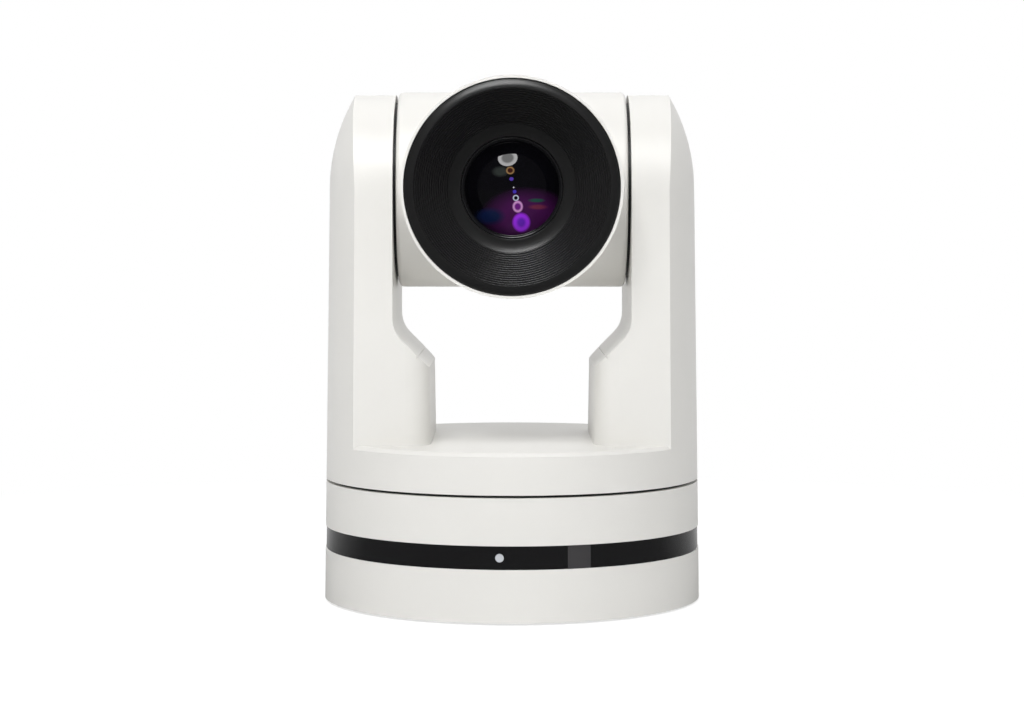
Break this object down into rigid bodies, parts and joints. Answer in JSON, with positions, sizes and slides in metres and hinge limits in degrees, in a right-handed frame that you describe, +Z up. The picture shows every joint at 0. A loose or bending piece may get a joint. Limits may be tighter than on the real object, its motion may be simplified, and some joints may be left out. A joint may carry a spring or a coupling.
{
  "type": "ptz camera",
  "caption": "Pan-tilt-zoom conference camera: round base with rear connector bay, turning two-arm yoke and tilting drum head with a ridged lens bezel.",
  "frame": {"origin": "centre of the base's footprint on the pan axis, at the underside of the rubber feet", "axes": "+Z up along the pan axis, lens looks to -Y, +X to the right of a viewer who faces the lens"},
  "size_m": [0.144, 0.144, 0.1967],
  "materials": {
    "white_shell": "warm off-white, satin moulded plastic with a very fine grain",
    "black_band": "gloss black",
    "ir_window": "smoke grey, infrared passing, gloss",
    "light_pipe": "frosted clear light pipe",
    "rubber": "matte black rubber",
    "steel": "plain machined",
    "steel_plate": "zinc plated sheet",
    "aluminium": "turned",
    "brass": "turned",
    "motor_case": "satin black",
    "circuit_board": "green solder mask",
    "dark_plastic": "matte black",
    "dark_metal": "matte black",
    "connector_metal": "bright nickel",
    "bezel_black": "satin black, fine ridges",
    "lens_glass": "coated optical glass"
  },
  "bodies": {
    "base": {"base_tray": "white_shell", "tripod_insert": "steel", "base_feet": "rubber", "base_housing": "white_shell", "front_band": "black_band", "status_led": "light_pipe", "ir_window": "ir_window", "ir_receiver": "dark_plastic", "main_board": "circuit_board", "rear_panel": "dark_metal", "dc_jack": "dark_plastic", "audio_jack": "dark_plastic", "serial_port": "dark_plastic", "sdi_port": "connector_metal", "lan_port": "connector_metal", "usb_port": "connector_metal", "hdmi_port": "connector_metal", "base_screws": "steel", "base_frame": "steel_plate", "pan_bearings": "steel", "pan_motor": "motor_case", "pan_belt": "rubber"},
    "pan_drive": {"pan_pinion": "brass"},
    "yoke": {"yoke_shell": "white_shell", "arm_cover_left": "white_shell", "arm_cover_right": "white_shell", "yoke_tray": "dark_plastic", "yoke_frame": "steel_plate", "pan_spindle": "aluminium", "spindle_clip": "steel", "pan_pulley": "dark_plastic", "flange_screws": "steel", "shell_screws": "steel", "tilt_bearings": "steel", "tilt_motor": "motor_case", "tilt_belt": "rubber"},
    "tilt_drive": {"tilt_pinion": "brass"},
    "head": {"head_shell": "white_shell", "head_rear": "white_shell", "head_screws": "steel", "hub_discs": "dark_plastic", "tilt_shaft_left": "steel", "tilt_shaft_right": "steel", "tilt_pulley": "dark_plastic", "head_frame": "steel_plate", "lens_bezel": "bezel_black", "lens_ring": "dark_metal", "front_glass": "lens_glass", "lens_block": "dark_metal", "guide_rods": "steel", "fixed_lens": "lens_glass", "sensor_board": "circuit_board", "camera_module": "dark_metal"},
    "zoom_group": {"zoom_carriage": "dark_plastic", "zoom_lens": "lens_glass"},
    "focus_group": {"focus_carriage": "dark_plastic", "focus_lens": "lens_glass"}
  },
  "joints": [
    {"name": "pan", "type": "hinge", "parent": "base", "child": "yoke", "pos_m": [0, 0, 0.0456], "axis": [0, 0, 1], "range_deg": [-170, 170]},
    {"name": "tilt", "type": "hinge", "parent": "yoke", "child": "head", "pos_m": [0, 0, 0.1565], "axis": [-1, 0, 0], "range_deg": [-30, 90]},
    {"name": "pan_motor_spin", "type": "hinge", "parent": "base", "child": "pan_drive", "pos_m": [0, -0.037, 0.031], "axis": [0, 0, 1], "range_deg": [-681, 681]},
    {"name": "tilt_motor_spin", "type": "hinge", "parent": "yoke", "child": "tilt_drive", "pos_m": [-0.0472, 0, 0.075], "axis": [-1, 0, 0], "range_deg": [-104, 309]},
    {"name": "zoom_travel", "type": "slide", "parent": "head", "child": "zoom_group", "axis": [0, 1, 0], "range_m": [0, 0.012]},
    {"name": "focus_travel", "type": "slide", "parent": "head", "child": "focus_group", "axis": [0, 1, 0], "range_m": [-0.003, 0.003]}
  ],
  "couplings": [
    {"joint": "pan_motor_spin", "follows": "pan", "ratio": 4},
    {"joint": "tilt_motor_spin", "follows": "tilt", "ratio": 3.4188}
  ]
}
